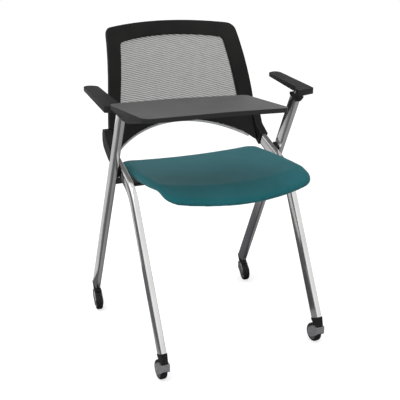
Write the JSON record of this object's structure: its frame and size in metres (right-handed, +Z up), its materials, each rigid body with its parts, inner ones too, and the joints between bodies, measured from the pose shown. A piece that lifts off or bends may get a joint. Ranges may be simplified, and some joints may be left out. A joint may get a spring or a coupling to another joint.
{
  "type": "nesting chair",
  "caption": "Folding-frame nesting chair on casters with crossed bright tube legs, a flip-up padded seat, a curved mesh back, flat armrests and a lift-up writing tablet",
  "frame": {"origin": "On the floor plane at the middle of the chair's bounding box.", "axes": "+Z is up, -Y is the way the sitter faces, +X is the sitter's left. The tablet is at -X."},
  "size_m": [0.58, 0.554, 0.815],
  "materials": {
    "bright_tube": "bright plated steel tube",
    "black_moulding": "fine-grained black moulding",
    "plated_steel": "zinc plated",
    "black_steel": "black powder coat",
    "black_rubber": "smooth black rubber",
    "teal_fabric": "woven upholstery",
    "back_moulding": "fine-grained dark moulding",
    "grey_mesh": "open knitted net",
    "bright_rod": "light grey lacquer",
    "arm_moulding": "fine-grained dark moulding",
    "tablet_grey": "grained grey surface",
    "tablet_arm_grey": "grained dark grey moulding",
    "fork_steel": "grey lacquered pressing",
    "hub_grey": "grey moulding"
  },
  "bodies": {
    "front_frame": {"front_tube_right": "bright_tube", "front_tube_left": "bright_tube", "crossing_plate_right": "black_moulding", "crossing_plate_left": "black_moulding", "pivot_bolts": "plated_steel", "pivot_nuts": "plated_steel", "seat_rest_right": "black_steel", "seat_rest_left": "black_steel", "rest_pads": "black_rubber", "back_frame": "back_moulding", "back_mesh": "grey_mesh", "back_socket_right": "black_moulding", "back_socket_left": "black_moulding", "back_rod": "bright_rod", "socket_screws": "plated_steel", "plug_front_right": "black_moulding", "plug_front_left": "black_moulding"},
    "rear_frame": {"rear_tube_right": "bright_tube", "rear_tube_left": "bright_tube", "cross_shaft": "black_steel", "shaft_screws": "plated_steel", "armrest_right": "arm_moulding", "armrest_left": "arm_moulding", "arm_cap_right": "black_moulding", "arm_cap_left": "black_moulding", "arm_screws": "plated_steel", "tablet_spindle": "plated_steel", "plug_rear_right": "black_moulding", "plug_rear_left": "black_moulding"},
    "seat": {"seat_cushion": "teal_fabric", "seat_pan": "black_moulding", "seat_bearing_right": "black_moulding", "seat_bearing_left": "black_moulding", "seat_screws": "plated_steel"},
    "tablet": {"tablet_top": "tablet_grey", "tablet_arm": "tablet_arm_grey", "tablet_screws": "plated_steel"},
    "caster_front_right": {"fork_front_right": "fork_steel", "stem_front_right": "plated_steel", "axle_front_right": "plated_steel"},
    "wheel_front_right": {"hub_front_right": "hub_grey", "tyre_front_right": "black_rubber"},
    "caster_front_left": {"fork_front_left": "fork_steel", "stem_front_left": "plated_steel", "axle_front_left": "plated_steel"},
    "wheel_front_left": {"hub_front_left": "hub_grey", "tyre_front_left": "black_rubber"},
    "caster_rear_right": {"fork_rear_right": "fork_steel", "stem_rear_right": "plated_steel", "axle_rear_right": "plated_steel"},
    "wheel_rear_right": {"hub_rear_right": "hub_grey", "tyre_rear_right": "black_rubber"},
    "caster_rear_left": {"fork_rear_left": "fork_steel", "stem_rear_left": "plated_steel", "axle_rear_left": "plated_steel"},
    "wheel_rear_left": {"hub_rear_left": "hub_grey", "tyre_rear_left": "black_rubber"}
  },
  "joints": [
    {"name": "frame_fold", "type": "hinge", "parent": "front_frame", "child": "rear_frame", "pos_m": [0, 0.04257, 0.4704], "axis": [-1, 0, 0], "range_deg": [0, 40]},
    {"name": "seat_fold", "type": "hinge", "parent": "rear_frame", "child": "seat", "pos_m": [0, 0.06038, 0.434], "axis": [-1, 0, 0], "range_deg": [0, 32]},
    {"name": "tablet_lift", "type": "hinge", "parent": "rear_frame", "child": "tablet", "pos_m": [-0.243, -0.0648, 0.63], "axis": [0, -1, 0], "range_deg": [0, 100]},
    {"name": "swivel_front_right", "type": "hinge", "parent": "front_frame", "child": "caster_front_right", "pos_m": [-0.223, -0.22718, 0.052], "axis": [0, 0, 1], "continuous": true},
    {"name": "roll_front_right", "type": "hinge", "parent": "caster_front_right", "child": "wheel_front_right", "pos_m": [-0.223, -0.20918, 0.025], "axis": [-1, 0, 0], "continuous": true},
    {"name": "swivel_front_left", "type": "hinge", "parent": "front_frame", "child": "caster_front_left", "pos_m": [0.223, -0.22718, 0.052], "axis": [0, 0, 1], "continuous": true},
    {"name": "roll_front_left", "type": "hinge", "parent": "caster_front_left", "child": "wheel_front_left", "pos_m": [0.223, -0.20918, 0.025], "axis": [-1, 0, 0], "continuous": true},
    {"name": "swivel_rear_right", "type": "hinge", "parent": "rear_frame", "child": "caster_rear_right", "pos_m": [-0.243, 0.2335, 0.052], "axis": [0, 0, 1], "continuous": true},
    {"name": "roll_rear_right", "type": "hinge", "parent": "caster_rear_right", "child": "wheel_rear_right", "pos_m": [-0.24551, 0.21568, 0.025], "axis": [0.9903, -0.1392, 0], "continuous": true},
    {"name": "swivel_rear_left", "type": "hinge", "parent": "rear_frame", "child": "caster_rear_left", "pos_m": [0.243, 0.2335, 0.052], "axis": [0, 0, 1], "continuous": true},
    {"name": "roll_rear_left", "type": "hinge", "parent": "caster_rear_left", "child": "wheel_rear_left", "pos_m": [0.24049, 0.21568, 0.025], "axis": [0.9903, -0.1392, 0], "continuous": true}
  ],
  "couplings": [
    {"joint": "seat_fold", "follows": "frame_fold", "ratio": 0.8}
  ]
}
